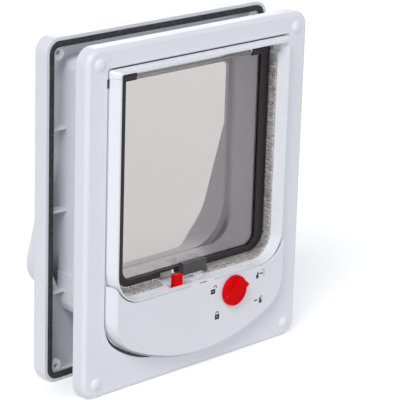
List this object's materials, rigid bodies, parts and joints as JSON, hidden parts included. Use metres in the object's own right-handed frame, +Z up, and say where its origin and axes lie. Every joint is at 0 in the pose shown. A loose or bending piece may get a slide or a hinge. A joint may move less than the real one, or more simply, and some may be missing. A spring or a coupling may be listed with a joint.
{
  "type": "cat flap",
  "caption": "Cat flap for a door: white frames inside and out on a telescoping tunnel, smoked swinging flap with brush seal, and a red turn knob that sets the lock.",
  "frame": {"origin": "centre of the bounding box's bottom face, on the plane both frames stand on", "axes": "+X to the right seen from indoors, +Y outdoors through the door, +Z up"},
  "size_m": [0.198, 0.0896, 0.236],
  "materials": {
    "white_plastic": "white injection-moulded plastic, satin",
    "smoked_acrylic": "clear plastic with a grey-brown smoke tint, polished",
    "black_plastic": "black moulded plastic",
    "dark_plastic": "dark grey moulded plastic",
    "red_plastic": "bright red moulded plastic",
    "natural_plastic": "uncoloured low-friction plastic",
    "steel": "plain bright steel",
    "magnet": "black ferrite magnet",
    "ferrite": "ground ferrite rod",
    "pile": "dense grey-beige brush pile",
    "foam": "soft dark grey closed-cell foam",
    "copper": "enamelled copper wire",
    "cell_can": "plain dark wrapped cell",
    "board": "green coated laminate"
  },
  "bodies": {
    "housing": {"indoor_frame": "white_plastic", "screw_caps": "white_plastic", "tunnel_housing": "white_plastic", "hinge_cover": "white_plastic", "control_cover": "white_plastic", "sill_magnet": "magnet", "brush_seal": "pile", "coil_bobbin": "black_plastic", "coil_winding": "copper", "coil_yoke": "steel", "battery_cells": "cell_can", "battery_contacts": "steel", "circuit_board": "board", "board_parts": "dark_plastic", "sensor_rod": "ferrite", "sensor_coil": "copper"},
    "flap": {"flap_pane": "smoked_acrylic", "flap_rim": "black_plastic", "hinge_pins": "steel", "magnet_holder": "dark_plastic", "flap_magnet": "magnet"},
    "knob": {"lock_knob": "red_plastic", "pinion": "natural_plastic"},
    "lock slide": {"lock_slide": "natural_plastic", "latch_tooth": "red_plastic"},
    "catch": {"coil_plunger": "steel", "catch_pin": "white_plastic"},
    "liner": {"outdoor_frame": "white_plastic", "foam_seal": "foam"}
  },
  "joints": [
    {"name": "flap_swing", "type": "hinge", "parent": "housing", "child": "flap", "pos_m": [0, -0.023, 0.2126], "axis": [1, 0, 0], "range_deg": [-80, 55]},
    {"name": "knob_turn", "type": "hinge", "parent": "housing", "child": "knob", "pos_m": [0.0286, -0.031, 0.0512], "axis": [0, 1, 0], "range_deg": [-90, 180]},
    {"name": "lock_travel", "type": "slide", "parent": "housing", "child": "lock slide", "axis": [1, 0, 0], "range_m": [-0.0042, 0.0083]},
    {"name": "catch_lift", "type": "slide", "parent": "housing", "child": "catch", "axis": [0, 0, 1], "range_m": [0, 0.0042]},
    {"name": "liner_slide", "type": "slide", "parent": "housing", "child": "liner", "axis": [0, 1, 0], "range_m": [-0.006, 0.012]}
  ],
  "couplings": [
    {"joint": "lock_travel", "follows": "knob_turn", "m_per_rad": 0.0026}
  ]
}
